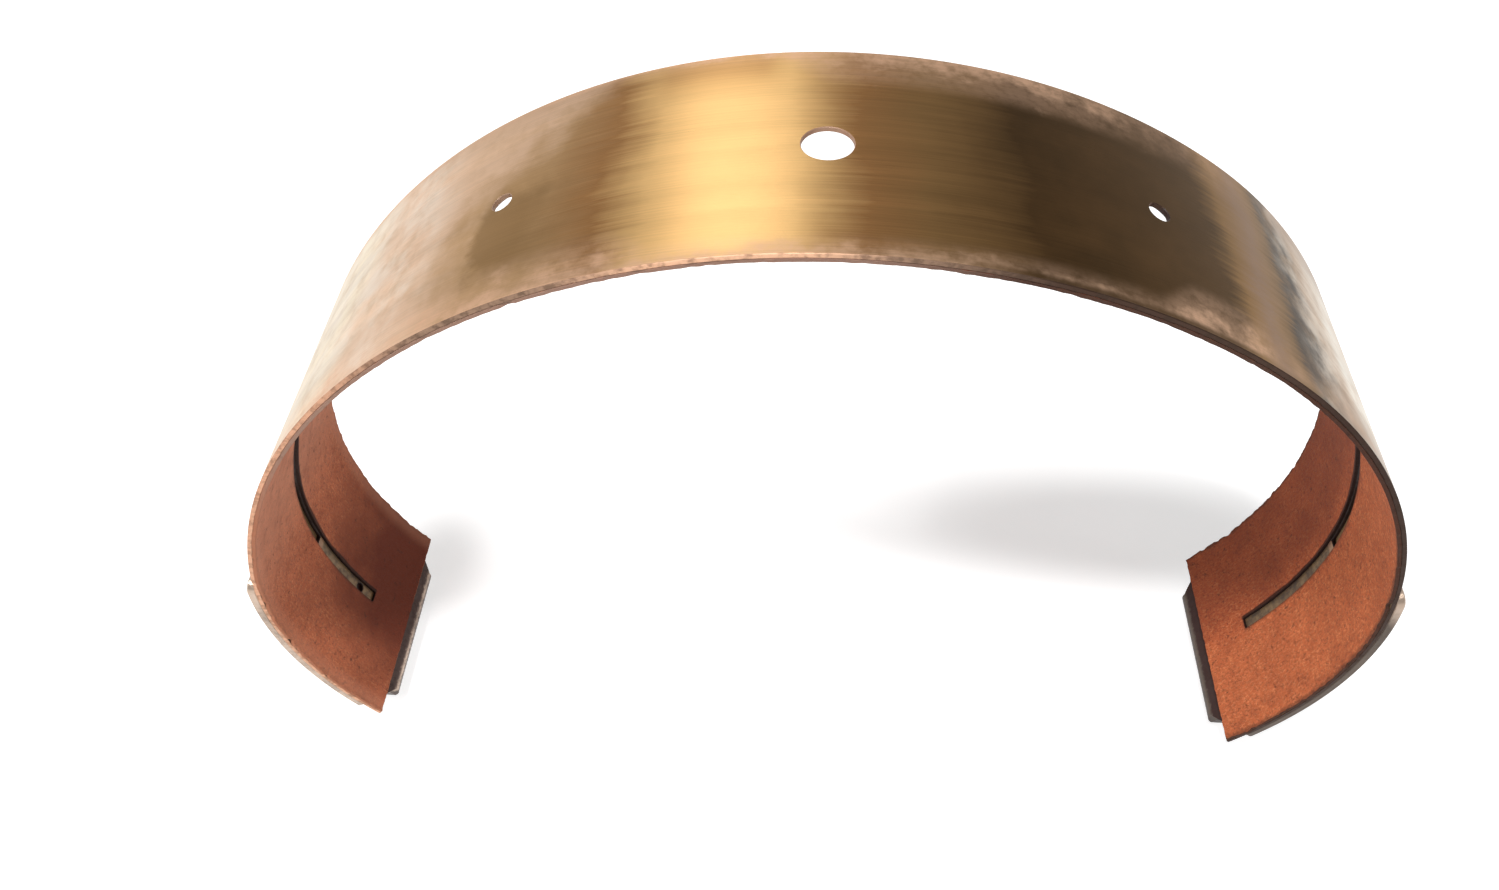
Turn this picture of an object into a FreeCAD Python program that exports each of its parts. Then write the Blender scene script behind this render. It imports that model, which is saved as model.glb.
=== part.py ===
import FreeCAD, Part
import math
import os

# A brake band from an automatic gearbox: a sprung steel strap with a friction lining inside
# and a welded bracket at each end. It stands like an arch on the lips of the two brackets.
# X runs from end to end of the band, Y along the axis of the drum it grips, and Z up.
# All sizes are in millimetres and degrees.
#
# A place on the band is an arc length along the strap's outer face, counted from the crown
# and minus to the left, with a height off that face, plus outwards and minus inwards.

# Steel strap
band_width = 50.8
strap_thickness = 0.9
strap_edge_break = 0.2

# Free shape that the strap springs to: three tangent arcs on each side of the crown
crown_arc = 73.4
side_arc = 79.0
left_end_arc = 66.8
right_end_arc = 66.2
left_crown_radius = 117.0
left_side_radius = 121.5
left_end_radius = 79.0
right_crown_radius = 124.5
right_side_radius = 102.0
right_end_radius = 80.0

# Holes through the strap, and how much wider the lining is cut round them
crown_hole_diameter = 8.3
oil_hole_diameter = 3.9
oil_hole_arc = 54.8
lining_hole_margin = 1.1

# Friction lining, bonded to the strap's inner face
lining_thickness = 0.75
lining_side_margin = 0.25
lining_end_margin = 0.3

# Oil groove round the middle of the lining, down to the strap
groove_width = 2.7
groove_end_margin = 13.2

# Slot through the strap under the groove, near each end
slot_width = 2.7
slot_length = 46.0
left_slot_end = 38.7
right_slot_end = 49.0

# Weld hole in the strap near its left end
weld_hole_diameter = 2.3
weld_hole_end_margin = 18.2

# End brackets, stamped from plate
bracket_thickness = 1.9
bracket_edge_break = 0.3
bracket_side_margin = 0.1
left_bracket_length = 58.0
right_bracket_length = 66.5
plate_past_strap = 2.2
shoulder_inset = 4.9
shoulder_angle = 45.0
shoulder_round = 2.0
neck_round = 0.6
knuckle_round = 2.5

# Lip bent outwards at each bracket's end
lip_root_width = 34.4
lip_tip_width = 30.0
lip_height = 9.0
lip_angle = 90.0
lip_bend_radius = 1.5
lip_corner_round = 3.0

# Coned seat for the servo's pin, pressed into the left lip
pin_seat_mouth = 6.0
pin_seat_floor = 2.4
pin_seat_depth = 1.0

# Notch for the anchor strut, cut in the right lip
anchor_notch_width = 9.0
anchor_notch_depth = 4.0
anchor_notch_round = 1.0

# Spot welds, which dent the outer face of each bracket
weld_diameter = 5.0
weld_dent = 0.25
weld_rows = 3
weld_first_row = 11.0
weld_last_row = 12.0
weld_spacing = 28.0

UP = FreeCAD.Vector(0, 0, 1)
ALONG_DRUM = FreeCAD.Vector(0, 1, 0)
LEFT = -1
RIGHT = 1

LEFT_ARCS = (
    (crown_arc, left_crown_radius),
    (side_arc, left_side_radius),
    (left_end_arc, left_end_radius),
)
RIGHT_ARCS = (
    (crown_arc, right_crown_radius),
    (side_arc, right_side_radius),
    (right_end_arc, right_end_radius),
)
LEFT_END = crown_arc + side_arc + left_end_arc
RIGHT_END = crown_arc + side_arc + right_end_arc


# The band's line, seen from the side

def station(arc):
    """Point on the strap's outer face at an arc length, and the way out of the band there."""
    side = LEFT if arc < 0 else RIGHT
    arcs = LEFT_ARCS if arc < 0 else RIGHT_ARCS
    x = 0.0
    z = 0.0
    turned = 0.0
    to_go = abs(arc)
    for number, (length, radius) in enumerate(arcs):
        is_last = number == len(arcs) - 1
        step = to_go if is_last else min(to_go, length)
        after = turned + step / radius
        x += radius * (math.sin(after) - math.sin(turned))
        z += radius * (math.cos(after) - math.cos(turned))
        turned = after
        to_go -= step
    outward = FreeCAD.Vector(side * math.sin(turned), 0, math.cos(turned))
    return FreeCAD.Vector(side * x, 0, z), outward


def place(arc, height):
    """Point in the side view at an arc length and a height off the strap's outer face."""
    point, outward = station(arc)
    return point + outward * height


def towards_end(side, outward):
    """Unit vector along the band, away from the crown, where the way out is known."""
    return FreeCAD.Vector(side * outward.z, 0, -side * outward.x)


def edges_along(start, stop, height):
    """Arcs along the band at one height, broken where its curvature changes."""
    changes = [-crown_arc - side_arc, -crown_arc, 0.0, crown_arc, crown_arc + side_arc]
    marks = [start] + [mark for mark in changes if start < mark < stop] + [stop]
    edges = []
    for first, last in zip(marks, marks[1:]):
        middle = place((first + last) / 2, height)
        arc = Part.Arc(place(first, height), middle, place(last, height))
        edges.append(arc.toShape())
    return edges


def line(first, last):
    return Part.LineSegment(first, last).toShape()


def sheet(edges, width):
    """Solid of a side-view outline, centred on the band's middle plane."""
    face = Part.Face(Part.Wire(Part.__sortEdges__(edges)))
    solid = face.extrude(ALONG_DRUM * width)
    solid.translate(ALONG_DRUM * (-width / 2))
    return solid


def strip(start, stop, low, high, width):
    """Solid that follows the band between two arc lengths and two heights."""
    edges = edges_along(start, stop, low) + edges_along(start, stop, high)
    edges.append(line(place(start, low), place(start, high)))
    edges.append(line(place(stop, low), place(stop, high)))
    return sheet(edges, width)


# Helpers for holes and rounded outlines

def drill(arc, offset, diameter, low, high):
    """Cylinder square to the band at an arc length and an offset along the drum's axis."""
    point, outward = station(arc)
    base = point + outward * low + ALONG_DRUM * offset
    return Part.makeCylinder(diameter / 2, high - low, base, outward)


def rounded_face(corners):
    """Face of a closed outline, where each corner is a point and its rounding radius."""
    edges = []
    ends = []
    for number, (corner, radius) in enumerate(corners):
        before = (corners[number - 1][0] - corner).normalize()
        after = (corners[(number + 1) % len(corners)][0] - corner).normalize()
        half_angle = before.getAngle(after) / 2
        setback = radius / math.tan(half_angle)
        first = corner + before * setback
        last = corner + after * setback
        if radius > 0:
            inward = (before + after).normalize()
            middle = corner + inward * (radius / math.sin(half_angle) - radius)
            edges.append(Part.Arc(first, middle, last).toShape())
        ends.append((first, last))
    for number, (first, last) in enumerate(ends):
        edges.append(line(ends[number - 1][1], first))
    return Part.Face(Part.Wire(Part.__sortEdges__(edges)))


def long_edges(solid, width):
    """Edges of a band-wide solid that run along its two rims."""
    rim = width / 2
    chosen = []
    for edge in solid.Edges:
        box = edge.BoundBox
        on_rim = box.YLength < 0.001 and abs(abs(box.YMin) - rim) < 0.001
        if on_rim and edge.Length > 2 * bracket_thickness:
            chosen.append(edge)
    return chosen


# The strap and its lining

def through_holes(margin):
    """Crown hole and the two oil holes, wider all round by a margin."""
    low = -2 * (strap_thickness + lining_thickness)
    high = strap_thickness
    crown = drill(0.0, 0.0, crown_hole_diameter + 2 * margin, low, high)
    left = drill(-oil_hole_arc, 0.0, oil_hole_diameter + 2 * margin, low, high)
    right = drill(oil_hole_arc, 0.0, oil_hole_diameter + 2 * margin, low, high)
    return [crown, left, right]


def make_strap():
    strap = strip(-LEFT_END, RIGHT_END, -strap_thickness, 0.0, band_width)
    strap = strap.makeChamfer(strap_edge_break, long_edges(strap, band_width))
    low = -2 * strap_thickness
    high = strap_thickness
    left_slot_stop = left_slot_end - LEFT_END
    left_slot = strip(left_slot_stop, left_slot_stop + slot_length, low, high, slot_width)
    right_slot_stop = RIGHT_END - right_slot_end
    right_slot = strip(right_slot_stop - slot_length, right_slot_stop, low, high, slot_width)
    weld_hole = drill(weld_hole_end_margin - LEFT_END, 0.0, weld_hole_diameter, low, high)
    return strap.cut(through_holes(0.0) + [left_slot, right_slot, weld_hole])


def make_lining():
    low = -strap_thickness - lining_thickness
    high = -strap_thickness
    width = band_width - 2 * lining_side_margin
    start = lining_end_margin - LEFT_END
    stop = RIGHT_END - lining_end_margin
    lining = strip(start, stop, low, high, width)
    groove_start = groove_end_margin - LEFT_END
    groove_stop = RIGHT_END - groove_end_margin
    groove = strip(groove_start, groove_stop, 2 * low, 0.0, groove_width)
    return lining.cut(through_holes(lining_hole_margin) + [groove])


# The end brackets

class Lip:
    """Where one bracket's plate bends outwards, and the directions there."""

    def __init__(self, side):
        end = LEFT_END if side == LEFT else RIGHT_END
        self.arc = end + plate_past_strap
        self.side = side
        self.foot, self.outward = station(side * self.arc)
        self.along = towards_end(side, self.outward)
        outer_radius = lip_bend_radius + bracket_thickness
        bend = math.radians(lip_angle)
        self.centre = self.foot + self.outward * outer_radius
        self.facing = self.along * math.sin(bend) - self.outward * math.cos(bend)
        self.rising = self.along * math.cos(bend) + self.outward * math.sin(bend)
        self.straight = lip_height - lip_bend_radius

    def on_bend(self, radius, share):
        """Point on the bend at a radius, from 0 at the plate to 1 at the lip."""
        turn = math.radians(lip_angle) * share
        return self.centre + (self.along * math.sin(turn) - self.outward * math.cos(turn)) * radius

    def on_back(self, rise):
        """Point on the lip's back face, at a rise above the end of the bend."""
        return self.centre + self.facing * lip_bend_radius + self.rising * rise

    def front_tip(self):
        return self.on_back(self.straight) + self.facing * bracket_thickness


def bracket_side_view(side, length, lip):
    """Edges of the plate that follows the strap, its bend and its lip."""
    end = LEFT_END if side == LEFT else RIGHT_END
    knuckle = side * (end - length)
    bend = side * lip.arc
    start, stop = sorted((knuckle, bend))
    outer_radius = lip_bend_radius + bracket_thickness
    inner_face = edges_along(start, stop, 0.0)
    outer_face = edges_along(start, stop, bracket_thickness)
    front_bend = Part.Arc(lip.foot, lip.on_bend(outer_radius, 0.5), lip.on_bend(outer_radius, 1.0))
    plate_top = place(bend, bracket_thickness)
    back_bend = Part.Arc(plate_top, lip.on_bend(lip_bend_radius, 0.5), lip.on_back(0.0))
    back_tip = lip.on_back(lip.straight)
    edges = inner_face + outer_face
    edges.append(line(place(knuckle, 0.0), place(knuckle, bracket_thickness)))
    edges.append(front_bend.toShape())
    edges.append(back_bend.toShape())
    edges.append(line(lip.on_bend(outer_radius, 1.0), lip.front_tip()))
    edges.append(line(lip.front_tip(), back_tip))
    edges.append(line(lip.on_back(0.0), back_tip))
    return edges


def prism(outline, origin, forward, through):
    """Solid of an outline given as (forward, across the band, corner radius), cut both ways."""
    reach = LEFT_END + RIGHT_END
    corners = []
    for ahead, across, radius in outline:
        corners.append((origin + forward * ahead + ALONG_DRUM * across, radius))
    face = rounded_face(corners)
    face.translate(through * (-reach))
    return face.extrude(through * (2 * reach))


def plate_outline(width):
    """The plate seen square to it: full width, shoulders, then the width of the lip's root."""
    reach = LEFT_END + RIGHT_END
    half = width / 2
    half_root = lip_root_width / 2
    shoulder = -shoulder_inset - plate_past_strap
    neck = shoulder + (half - half_root) / math.tan(math.radians(shoulder_angle))
    return [
        (-reach, -half, 0.0),
        (shoulder, -half, shoulder_round),
        (neck, -half_root, neck_round),
        (reach, -half_root, 0.0),
        (reach, half_root, 0.0),
        (neck, half_root, neck_round),
        (shoulder, half, shoulder_round),
        (-reach, half, 0.0),
    ]


def lip_outline(lip, notch):
    """The lip seen square to it: tapered, with rounded corners and any notch in its edge."""
    reach = LEFT_END + RIGHT_END
    half_root = lip_root_width / 2
    half_tip = lip_tip_width / 2
    left_side = [
        (-reach, -reach, 0.0),
        (0.0, -reach, 0.0),
        (0.0, -half_root, 0.0),
        (lip.straight, -half_tip, lip_corner_round),
    ]
    right_side = [(ahead, -across, radius) for ahead, across, radius in reversed(left_side)]
    return left_side + notch + right_side


def strut_notch(lip):
    """Corners of the notch that the anchor strut holds in."""
    half = anchor_notch_width / 2
    floor = lip.straight - anchor_notch_depth
    return [
        (lip.straight, -half, 0.0),
        (floor, -half, anchor_notch_round),
        (floor, half, anchor_notch_round),
        (lip.straight, half, 0.0),
    ]


def round_corners(solid, points, radius):
    """Round the short edges whose middles lie at the given points."""
    chosen = []
    for edge in solid.Edges:
        for point in points:
            if (edge.CenterOfMass - point).Length < 0.01:
                chosen.append(edge)
    return solid.makeFillet(radius, chosen)


def weld_dents(side, length, end):
    """Shallow round dents that the spot welds leave in the bracket's outer face."""
    dents = []
    first = end - length + weld_first_row
    last = end - weld_last_row
    dent_radius = ((weld_diameter / 2) ** 2 + weld_dent ** 2) / (2 * weld_dent)
    for row in range(weld_rows):
        arc = side * (first + (last - first) * row / (weld_rows - 1))
        centre = place(arc, bracket_thickness - weld_dent + dent_radius)
        for offset in (-weld_spacing / 2, weld_spacing / 2):
            dents.append(Part.makeSphere(dent_radius, centre + ALONG_DRUM * offset))
    return dents


def make_bracket(side, length, lip, notch):
    """Plate along the strap, bent out into a lip, with its outline and its weld dents."""
    end = LEFT_END if side == LEFT else RIGHT_END
    width = band_width - 2 * bracket_side_margin
    bracket = sheet(bracket_side_view(side, length, lip), width)
    knuckle = place(side * (end - length), bracket_thickness / 2)
    rims = (ALONG_DRUM * (-width / 2), ALONG_DRUM * (width / 2))
    bracket = round_corners(bracket, [knuckle + rim for rim in rims], knuckle_round)
    bracket = bracket.makeChamfer(bracket_edge_break, long_edges(bracket, width))
    plate = prism(plate_outline(width), lip.foot, lip.along, lip.outward)
    upright = prism(lip_outline(lip, notch), lip.on_back(0.0), lip.rising, lip.facing)
    return bracket.common(plate).common(upright).cut(weld_dents(side, length, end))


def make_apply_bracket():
    """Left bracket: the servo's pin pushes in a coned seat pressed through its lip."""
    lip = Lip(LEFT)
    bracket = make_bracket(LEFT, left_bracket_length, lip, [])
    mouth = pin_seat_mouth / 2
    floor = pin_seat_floor / 2
    wall = bracket_thickness / 3
    back = lip.on_back(lip.straight / 2)
    front = back + lip.facing * bracket_thickness
    seat = Part.makeCone(mouth, floor, pin_seat_depth, back, lip.facing)
    bulge = Part.makeCone(mouth + wall, floor + wall, pin_seat_depth, front, lip.facing)
    return bracket.fuse(bulge).cut(seat)


def make_anchor_bracket():
    """Right bracket: the anchor strut holds in a notch cut in the edge of its lip."""
    lip = Lip(RIGHT)
    return make_bracket(RIGHT, right_bracket_length, lip, strut_notch(lip))


# The whole band, set down on its two lips

def set_down(pieces):
    """Turn the band until both lips are level, then put the middle of its base at the origin."""
    left_tip = Lip(LEFT).front_tip()
    right_tip = Lip(RIGHT).front_tip()
    lean = math.degrees(math.atan2(right_tip.z - left_tip.z, right_tip.x - left_tip.x))
    for piece in pieces.values():
        piece.rotate(FreeCAD.Vector(0, 0, 0), ALONG_DRUM, lean)
    box = Part.makeCompound(list(pieces.values())).optimalBoundingBox(False, False)
    to_origin = FreeCAD.Vector(-box.Center.x, -box.Center.y, -box.ZMin)
    for piece in pieces.values():
        piece.translate(to_origin)
    return pieces


def main():
    pieces = {
        "steel_strap": make_strap(),
        "friction_lining": make_lining(),
        "apply_bracket": make_apply_bracket(),
        "anchor_bracket": make_anchor_bracket(),
    }
    os.makedirs("parts", exist_ok=True)
    for name, shape in set_down(pieces).items():
        shape.exportStep("parts/" + name + ".step")


main()
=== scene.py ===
"""Looks of a gearbox brake band: steel strap, bonded friction lining and two end brackets."""

import math

import bmesh
import bpy
from mathutils import Color, Matrix, Vector, noise
from mathutils.geometry import delaunay_2d_cdt


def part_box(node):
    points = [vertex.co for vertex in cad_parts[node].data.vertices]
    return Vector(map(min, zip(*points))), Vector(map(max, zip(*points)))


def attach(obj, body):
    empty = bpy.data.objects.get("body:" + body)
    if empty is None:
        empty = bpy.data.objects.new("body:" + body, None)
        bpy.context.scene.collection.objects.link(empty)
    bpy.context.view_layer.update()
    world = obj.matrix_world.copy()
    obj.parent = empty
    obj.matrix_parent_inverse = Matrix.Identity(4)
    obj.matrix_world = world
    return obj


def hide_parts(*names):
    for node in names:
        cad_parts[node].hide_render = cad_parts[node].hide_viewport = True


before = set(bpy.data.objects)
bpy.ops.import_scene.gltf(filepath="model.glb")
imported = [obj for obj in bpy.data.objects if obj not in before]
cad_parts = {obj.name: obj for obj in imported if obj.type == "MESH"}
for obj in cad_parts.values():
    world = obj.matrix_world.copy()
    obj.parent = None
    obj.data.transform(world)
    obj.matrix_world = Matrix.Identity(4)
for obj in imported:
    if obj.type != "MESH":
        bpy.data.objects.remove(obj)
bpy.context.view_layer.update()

STRAP_LOW, STRAP_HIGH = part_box("steel_strap")

bl_info = {
    "name": "Brake Band Maker",
    "version": (1, 0, 0),
    "blender": (4, 5, 0),
    "location": "3D View > Sidebar > Brake Band",
    "description": "Builds a lined steel brake band with its end brackets and a studio round it",
    "category": "Object",
}

LEFT = -1
RIGHT = 1
MM = 0.001


# Settings that a user may change

def length(name, text, millimetres):
    return bpy.props.FloatProperty(
        name=name, description=text, default=millimetres * MM, min=0.0, unit="LENGTH", precision=5
    )


def colour(name, text, red, green, blue):
    return bpy.props.FloatVectorProperty(
        name=name, description=text, default=(red / 255, green / 255, blue / 255),
        size=3, min=0.0, max=1.0, subtype="COLOR_GAMMA",
    )


def share(name, text, value):
    return bpy.props.FloatProperty(
        name=name, description=text, default=value, min=0.0, max=1.0, subtype="FACTOR"
    )


def position(name, text, where):
    return bpy.props.FloatVectorProperty(
        name=name, description=text, default=where, subtype="TRANSLATION"
    )


def angle(name, text, degrees):
    return bpy.props.FloatProperty(
        name=name, description=text, default=math.radians(degrees), subtype="ANGLE"
    )


class BandLineSettings(bpy.types.PropertyGroup):
    """The line that the sprung strap follows, in arcs on each side of the crown."""

    lean: angle("Lean", "Turn that sets both bracket lips level", 0.42569)
    crown_arc: length("Crown Arc", "Length of the first arc on each side", 73.4)
    side_arc: length("Side Arc", "Length of the second arc on each side", 79.0)
    left_end_arc: length("Left End Arc", "Length of the last arc, left", 66.8)
    right_end_arc: length("Right End Arc", "Length of the last arc, right", 66.2)
    left_crown_radius: length("Left Crown Radius", "Bend of the first arc, left", 117.0)
    left_side_radius: length("Left Side Radius", "Bend of the second arc, left", 121.5)
    left_end_radius: length("Left End Radius", "Bend of the last arc, left", 79.0)
    right_crown_radius: length("Right Crown Radius", "Bend of the first arc, right", 124.5)
    right_side_radius: length("Right Side Radius", "Bend of the second arc, right", 102.0)
    right_end_radius: length("Right End Radius", "Bend of the last arc, right", 80.0)


class StrapSettings(bpy.types.PropertyGroup):
    """Sizes of the steel strap and of what is cut through it."""

    width: length("Width", "Width of the strap", 50.8)
    thickness: length("Thickness", "Thickness of the strap", 0.9)
    edge_break: length("Edge Break", "Small chamfer along the rims and holes", 0.12)
    crown_hole: length("Crown Hole", "Diameter of the hole at the crown", 8.3)
    oil_hole: length("Oil Hole", "Diameter of the two oil holes", 3.9)
    oil_hole_arc: length("Oil Hole Place", "From the crown to each oil hole", 54.8)
    slot_width: length("Slot Width", "Width of the slots under the groove", 2.7)
    slot_length: length("Slot Length", "Length of the slots under the groove", 46.0)
    left_slot_end: length("Left Slot End", "From the left end to its slot", 38.7)
    right_slot_end: length("Right Slot End", "From the right end to its slot", 49.0)
    weld_hole: length("Weld Hole", "Diameter of the weld hole, left", 2.3)
    weld_hole_end: length("Weld Hole Place", "From the left end to the weld hole", 18.2)


class LiningSettings(bpy.types.PropertyGroup):
    """Sizes of the friction lining."""

    thickness: length("Thickness", "Thickness of the lining", 0.75)
    side_margin: length("Side Margin", "Strap that shows beside the lining", 0.25)
    end_margin: length("End Margin", "Strap that shows past the lining's ends", 0.3)
    groove_width: length("Groove Width", "Width of the oil groove", 2.7)
    groove_end: length("Groove End", "From each end to the groove", 13.2)
    hole_margin: length("Hole Margin", "How much wider it is cut round the holes", 1.4)
    edge_break: length("Edge Break", "Worn corner along the cut edges", 0.1)
    rag: length("Ragged Edge", "How far the cut edges wander", 0.28)


class FinishSettings(bpy.types.PropertyGroup):
    """Colours of the steel and of the lining."""

    # Painted reflection: the two near-white flank colours stand for the white surround glaring in
    # the steel
    glare: colour("Bleached Steel", "Bare steel on the strap's left flank", 255, 240, 214)
    right_flank_glare: colour("Frosted Steel", "Bare steel low on the strap's right flank", 255, 250, 240)
    haze: colour("White Haze", "Whitish clouds on the flanks", 252, 240, 226)
    putty: colour("Putty Steel", "Greyish beige steel beside the grey smear", 190, 158, 128)
    # Partly painted reflection: pale beige of a bright surround glaring in the steel, over its
    # thin oxide
    pale: colour("Pale Steel", "Pinkish beige steel above the flanks", 244, 212, 184)
    tan: colour("Tan Steel", "Tan temper colour left of the crown", 190, 152, 108)
    # Amber is also laid as painted shade over the highlight at the far rim
    amber: colour("Amber Steel", "Amber temper colour beside the brassy one", 168, 122, 76)
    # Partly painted highlight: the brassy band at the crown is temper colour with a lamp's
    # reflection painted into it
    gold: colour("Gold Steel", "Brassy temper colour at the crown", 228, 186, 126)
    # Partly painted reflection: olive and dark bronze stand partly for a dark surround reflected
    # right of the crown
    olive: colour("Olive Steel", "Olive temper colour right of the crown", 146, 112, 70)
    bronze: colour("Bronze Steel", "Dark bronze further right", 74, 53, 29)
    smear: colour("Grey Smear", "Grey stain on the right flank", 34, 27, 27)
    pink: colour("Pink Bloom", "Bloom along the strap's rims", 234, 192, 160)
    # Cut steel is also laid as a painted glint where each slot ends
    cut_steel: colour("Cut Steel", "Sheared edges on the left flank", 208, 160, 130)
    cut_dull: colour("Dull Cut", "Dull sheared edges, and steel beside the smear", 148, 120, 100)
    bore: colour("Crown Hole Wall", "Wall of the hole at the crown", 164, 128, 104)
    oil_bore: colour("Left Oil Hole Wall", "Wall of the left oil hole", 150, 118, 94)
    dark_bore: colour("Right Oil Hole Wall", "Wall of the right oil hole", 112, 76, 60)
    cut_rosy: colour("Rosy Cut", "Sheared edges at the crown", 222, 178, 146)
    cut_brown: colour("Browned Cut", "Sheared edges right of the crown", 72, 54, 45)
    inside_steel: colour("Inner Steel", "Strap's inner face in the groove", 138, 112, 76)
    lining: colour("Lining", "Main colour of the friction lining", 196, 100, 60)
    # The fibre colour is also laid as painted light on the near half of the right lining
    lining_light: colour("Lining Fibres", "Light fibres in the lining", 234, 148, 96)
    # Partly painted light: laid paler high on the left lining where bounce light falls, beside
    # real dust on the rims
    lining_dust_and_bounce_light: colour("Lining Dust", "Pinkish dust high on the left lining", 214, 152, 122)
    lining_worn: colour("Worn Lining Edge", "Cut rim of the lining low on the left", 184, 120, 90)
    lining_rim: colour("Lining Rim", "Cut rim of the lining beside the pale steel", 164, 134, 118)
    lining_dark: colour("Lining Binder", "Dark binder between the fibres", 112, 54, 36)
    grime: colour("Grime", "Burnt oil in the groove and along the rims", 58, 40, 32)
    # Painted shade: near black on the slot walls, the groove's walls and the weld hole's bottom,
    # where shadow falls
    recess_shade: colour("Soot", "Blackened walls of the groove and slots", 40, 18, 9)
    bracket: colour("Bracket Steel", "Clean plate of the brackets", 194, 172, 154)
    dull_plate: colour("Dull Plate", "Darker plate of the right bracket", 98, 85, 72)
    # Painted shade: dark steel on each bracket's lip past its bend, turned away from the light
    lip_shade: colour("Bracket Bend", "Darkened steel where each bracket bends out", 70, 59, 54)
    oxide: colour("Bracket Oxide", "Brown oxide on the brackets", 84, 70, 60)
    maroon: colour("Bonding Varnish", "Dark red varnish past the strap's ends", 44, 13, 9)
    heat_blue: colour("Heat Tint", "Blue-grey ring round each weld", 84, 82, 92)


class StudioSettings(bpy.types.PropertyGroup):
    """Floor, lamps and camera."""

    floor: colour("Floor", "Colour of the floor", 250, 249, 248)
    floor_glow: share("Floor Glow", "Light that the seen floor adds away from the shadow", 0.36)
    world: share("World Light", "Even light from all round", 0.42)
    seen_sky: share("Overhead Backdrop", "How bright the backdrop overhead looks in metal", 0.5)
    camera_place: position("Camera Place", "Where the camera stands", (0.00228, -0.14543, 0.26367))
    camera_aim: position("Camera Aim", "Point that the camera looks at", (-0.008147, 0.0, 0.08583))
    camera_roll: angle("Camera Roll", "Turn of the camera about its line of sight", -1.8)
    lens: bpy.props.FloatProperty(
        name="Lens", description="Focal length in millimetres", default=27.118
    )
    shift: bpy.props.FloatVectorProperty(
        name="Shift", description="Shift of the picture, as a share of its width",
        default=(-0.01317, 0.00183), size=2,
    )


# The band's line

LINE_STEPS = 2000
CENTRE_SHARE = 0.35


class BandLine:
    """Places on the band, by arc length from the crown, set to the box of the CAD strap."""

    def __init__(self, sizes):
        self.arcs = {
            LEFT: ((sizes.crown_arc, sizes.left_crown_radius),
                   (sizes.side_arc, sizes.left_side_radius),
                   (sizes.left_end_arc, sizes.left_end_radius)),
            RIGHT: ((sizes.crown_arc, sizes.right_crown_radius),
                    (sizes.side_arc, sizes.right_side_radius),
                    (sizes.right_end_arc, sizes.right_end_radius)),
        }
        self.left_end = sum(arc for arc, radius in self.arcs[LEFT])
        self.right_end = sum(arc for arc, radius in self.arcs[RIGHT])
        self.lean = sizes.lean
        self.shift = (0.0, 0.0)
        step = (self.left_end + self.right_end) / LINE_STEPS
        stations = [self.station(step * i - self.left_end) for i in range(LINE_STEPS + 1)]
        self.shift = (
            STRAP_LOW.x - min(station[0] for station in stations),
            STRAP_HIGH.z - max(station[1] for station in stations),
        )
        self.centre_height = CENTRE_SHARE * STRAP_HIGH.z

    def station(self, arc):
        """x and z of a point on the strap's outer face, and x and z of the way out there."""
        side = LEFT if arc < 0 else RIGHT
        x = z = turned = 0.0
        to_go = abs(arc)
        arcs = self.arcs[side]
        for number, (reach, radius) in enumerate(arcs):
            step = to_go if number == len(arcs) - 1 else min(to_go, reach)
            after = turned + step / radius
            x += radius * (math.sin(after) - math.sin(turned))
            z += radius * (math.cos(after) - math.cos(turned))
            turned = after
            to_go -= step
        x *= side
        out = side * math.sin(turned), math.cos(turned)
        c, s = math.cos(self.lean), math.sin(self.lean)
        return (
            x * c + z * s + self.shift[0],
            z * c - x * s + self.shift[1],
            out[0] * c + out[1] * s,
            out[1] * c - out[0] * s,
        )

    def around(self, arc):
        """Share of a full turn about the band's middle, as the Band Place group gives it."""
        x, z, out_x, out_z = self.station(arc)
        return math.atan2(x, z - self.centre_height) / (2 * math.pi) + 0.5


# Sheets that are cut flat and then rolled to the band's line

HOLE_STEP = 0.4 * MM
BULGE_STEP = 0.35 * MM
SIDE_STEP = 1.0 * MM
AFTER_BULGE = 0.3 * MM
FEWEST_ROUND = 28
CORNER_SHARE = 0.25

# Room between a sheet's inner points and its cuts: share of the spacing, and times the rag
KEEP_OFF = 0.45
RAG_ROOM = 2.6
SHARP_FROM = math.radians(32)

# Waves of a ragged rim: their length, and the layer of noise that they are read from
SLOW_WAVE = (9.0 * MM, 0.0)
QUICK_WAVE = (1.6 * MM, 11.0)
NICK_WAVE = (4.2 * MM, 23.0)
END_WAVE = 1.3 * MM
GROOVE_WAVE = 1.7 * MM

# A ragged rim is torn where its nick wave is high, and more worn towards the strip's ends
NICK_LEVEL = 0.3
NICK_DEPTH = 4.0
WORN_FROM = 112.0 * MM
WORN_OVER = 40.0 * MM


class RoundHole:
    """A round hole in a flat sheet."""

    def __init__(self, arc, diameter):
        self.arc = arc
        self.radius = diameter / 2

    def covers(self, arc, across, margin):
        return math.hypot(arc - self.arc, across) < self.radius + margin

    def ring(self, grow):
        count = max(FEWEST_ROUND, int(2 * math.pi * self.radius / HOLE_STEP))
        reach = self.radius + grow
        turns = [2 * math.pi * i / count for i in range(count)]
        return [(self.arc + reach * math.cos(turn), reach * math.sin(turn)) for turn in turns]


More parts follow.
